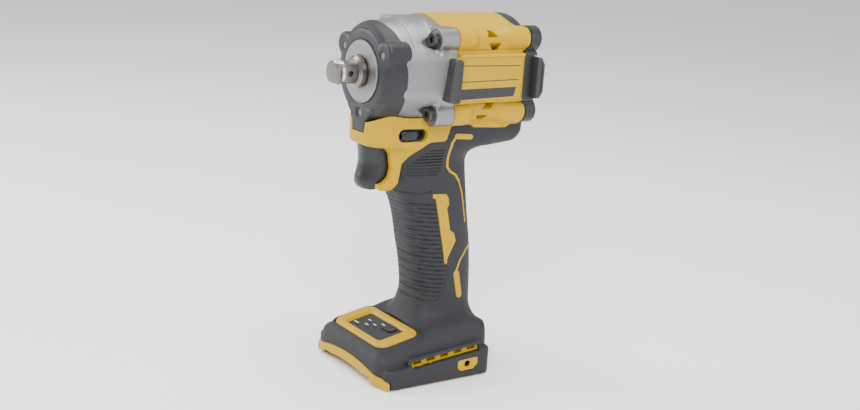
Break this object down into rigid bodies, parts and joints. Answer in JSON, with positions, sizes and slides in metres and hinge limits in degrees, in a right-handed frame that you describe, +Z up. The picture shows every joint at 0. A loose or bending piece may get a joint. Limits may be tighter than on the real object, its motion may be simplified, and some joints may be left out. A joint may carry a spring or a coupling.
{
  "type": "impact wrench",
  "caption": "Compact cordless impact wrench, bare tool: 3/8 in drive square, metal nose with light ring, pistol grip with trigger, and a slide-on battery foot.",
  "frame": {"origin": "under the middle of the tool, on the plane of the battery foot's lower edges", "axes": "+Z up through the handle, -X the way the drive square points, -Y the tool's left side"},
  "size_m": [0.102, 0.069, 0.1785],
  "materials": {
    "yellow_shell": "fine satin texture",
    "overmould": "matte soft elastomer",
    "black_plastic": "matte",
    "cast_aluminium": "bead-blasted die casting",
    "tool_steel": "ground and tumbled",
    "dark_steel": "black oxide",
    "bright_steel": "ground",
    "spring_steel": "drawn wire",
    "bronze": "sintered, oiled",
    "brass": "machined",
    "copper_wire": "enamelled copper",
    "laminations": "stacked electrical sheet",
    "magnet": "nickel plated",
    "black_rubber": "matte",
    "nylon": "natural nylon",
    "clear_lens": "clear plastic",
    "led": "encapsulated diode",
    "circuit_board": "solder mask",
    "wire_insulation": "silicone",
    "panel_film": "satin label film"
  },
  "bodies": {
    "body": {"anvil_bushing": "bronze", "anvil_washer": "nylon", "bearing_front": "bright_steel", "bearing_rear": "bright_steel", "control_module": "black_plastic", "front_bumper_left": "black_rubber", "front_bumper_right": "black_rubber", "gearbox_plate": "black_plastic", "grip_left": "overmould", "grip_right": "overmould", "hall_board": "circuit_board", "hook_insert_left": "brass", "hook_insert_right": "brass", "housing_left": "yellow_shell", "housing_right": "yellow_shell", "housing_screws": "dark_steel", "light_board": "circuit_board", "light_leds": "led", "light_lenses": "clear_lens", "mode_bezel": "yellow_shell", "mode_board": "circuit_board", "mode_panel": "panel_film", "motor_leads": "wire_insulation", "nose_boot": "black_rubber", "nose_housing": "cast_aluminium", "nose_screws": "dark_steel", "power_leads": "wire_insulation", "rear_bumper_left": "black_rubber", "rear_bumper_right": "black_rubber", "rear_cap": "black_plastic", "rear_cap_screws": "dark_steel", "ring_gear": "tool_steel", "stator_coils": "copper_wire", "stator_core": "laminations", "stator_insulators": "black_plastic", "terminal_blades": "brass", "terminal_block": "black_plastic", "trigger_spring": "spring_steel", "trigger_switch": "black_plastic"},
    "drive_anvil": {"anvil": "tool_steel", "hog_ring": "bright_steel", "friction_o_ring": "black_rubber"},
    "camshaft_carrier": {"camshaft": "tool_steel", "planet_pins": "bright_steel", "spring_washer": "bright_steel", "hammer_spring": "spring_steel"},
    "cam_ball_pair": {"cam_balls": "bright_steel"},
    "impact_hammer": {"hammer": "tool_steel"},
    "planet_1": {"planet_gear_1": "tool_steel"},
    "planet_2": {"planet_gear_2": "tool_steel"},
    "planet_3": {"planet_gear_3": "tool_steel"},
    "rotor": {"motor_shaft": "bright_steel", "rotor_core": "laminations", "rotor_magnets": "magnet", "motor_fan": "black_plastic"},
    "trigger_lever": {"trigger": "black_plastic"},
    "direction_bar": {"direction_button": "black_plastic"},
    "direction_arm": {"direction_lever": "black_plastic"},
    "mode_button": {"mode_key": "panel_film"}
  },
  "joints": [
    {"name": "drive_spin", "type": "hinge", "parent": "body", "child": "drive_anvil", "pos_m": [-0.03, 0, 0.151], "axis": [1, 0, 0], "continuous": true},
    {"name": "camshaft_spin", "type": "hinge", "parent": "body", "child": "camshaft_carrier", "pos_m": [0, 0, 0.151], "axis": [1, 0, 0], "continuous": true},
    {"name": "rotor_spin", "type": "hinge", "parent": "body", "child": "rotor", "pos_m": [0.03, 0, 0.151], "axis": [1, 0, 0], "continuous": true},
    {"name": "planet_1_spin", "type": "hinge", "parent": "camshaft_carrier", "child": "planet_1", "pos_m": [0.0101, 0, 0.16225], "axis": [1, 0, 0], "continuous": true},
    {"name": "planet_2_spin", "type": "hinge", "parent": "camshaft_carrier", "child": "planet_2", "pos_m": [0.0101, -0.00974, 0.14538], "axis": [1, 0, 0], "continuous": true},
    {"name": "planet_3_spin", "type": "hinge", "parent": "camshaft_carrier", "child": "planet_3", "pos_m": [0.0101, 0.00974, 0.14538], "axis": [1, 0, 0], "continuous": true},
    {"name": "cam_turn", "type": "hinge", "parent": "camshaft_carrier", "child": "cam_ball_pair", "pos_m": [-0.007, 0, 0.151], "axis": [1, 0, 0], "range_deg": [0, 45.5]},
    {"name": "hammer_slide", "type": "slide", "parent": "cam_ball_pair", "child": "impact_hammer", "axis": [1, 0, 0], "range_m": [0, 0.006], "stiffness_N_per_m": 2000, "springref_m": -0.002, "deforming": ["hammer_spring"]},
    {"name": "trigger_slide", "type": "slide", "parent": "body", "child": "trigger_lever", "axis": [1, 0, 0], "range_m": [0, 0.006], "stiffness_N_per_m": 600, "springref_m": -0.004, "deforming": ["trigger_spring"]},
    {"name": "direction_slide", "type": "slide", "parent": "body", "child": "direction_bar", "axis": [0, 1, 0], "range_m": [-0.0022, 0.0022]},
    {"name": "direction_arm_turn", "type": "hinge", "parent": "body", "child": "direction_arm", "pos_m": [0.0005, 0, 0.1173], "axis": [0, 0, 1], "range_deg": [-9.2, 9.2]},
    {"name": "mode_press", "type": "slide", "parent": "body", "child": "mode_button", "axis": [0.1908, 0, -0.9816], "range_m": [0, 0.0006], "stiffness_N_per_m": 800, "springref_m": -0.0006}
  ],
  "couplings": [
    {"joint": "drive_spin", "follows": "camshaft_spin", "ratio": 1},
    {"joint": "rotor_spin", "follows": "camshaft_spin", "ratio": 5},
    {"joint": "planet_1_spin", "follows": "camshaft_spin", "ratio": -2.6667},
    {"joint": "planet_2_spin", "follows": "camshaft_spin", "ratio": -2.6667},
    {"joint": "planet_3_spin", "follows": "camshaft_spin", "ratio": -2.6667},
    {"joint": "cam_turn", "follows": "hammer_slide", "rad_per_m": 130.9},
    {"joint": "direction_arm_turn", "follows": "direction_slide", "rad_per_m": -71.429}
  ]
}
